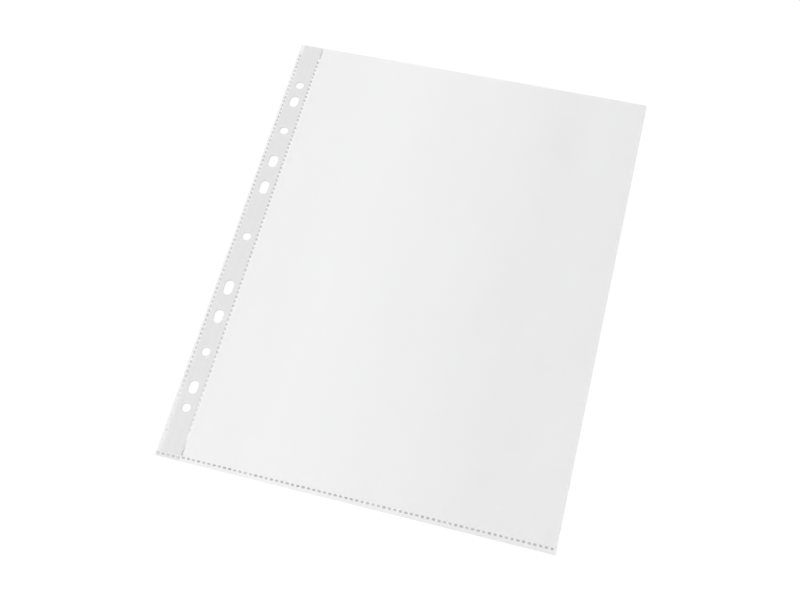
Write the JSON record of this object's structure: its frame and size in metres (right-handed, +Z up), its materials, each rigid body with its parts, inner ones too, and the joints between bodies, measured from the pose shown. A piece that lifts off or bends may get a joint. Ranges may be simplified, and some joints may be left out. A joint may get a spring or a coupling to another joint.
{
  "type": "sheet protector",
  "caption": "Clear top-loading page pocket with a milky punched binding strip along one side, dotted weld seams, a folded far edge and an open mouth for loose sheets.",
  "frame": {"origin": "middle of the page's outline, on the surface that it lies on", "axes": "+X from the binding edge to the folded edge, +Y from the bottom weld to the mouth, +Z up, out of the front film"},
  "size_m": [0.24, 0.306, 0.0004],
  "materials": {
    "film": "clear polypropylene film, slightly hazy",
    "strip": "milky polypropylene tape",
    "weld": "film fused by heat, pitted"
  },
  "bodies": {
    "binding_edge": {"reinforcing_strip": "strip", "front_margin": "film", "back_margin": "film", "outer_weld": "weld", "inner_weld": "weld", "margin_weld": "weld"},
    "pocket": {"back_panel": "film", "fold_edge": "film", "front_weld_band": "film", "front_fold_band": "film", "front_hem": "film", "bottom_weld": "weld"},
    "mouth_flap": {"front_panel": "film"}
  },
  "joints": [
    {"name": "leaf_fold", "type": "hinge", "parent": "binding_edge", "child": "pocket", "pos_m": [-0.10375, 0, 0.00044], "axis": [0, -1, 0], "range_deg": [0, 120]},
    {"name": "mouth_open", "type": "hinge", "parent": "pocket", "child": "mouth_flap", "pos_m": [0, -0.14895, 0.00038], "axis": [1, 0, 0], "range_deg": [0, 4], "stiffness_Nm_per_rad": 0.05}
  ]
}
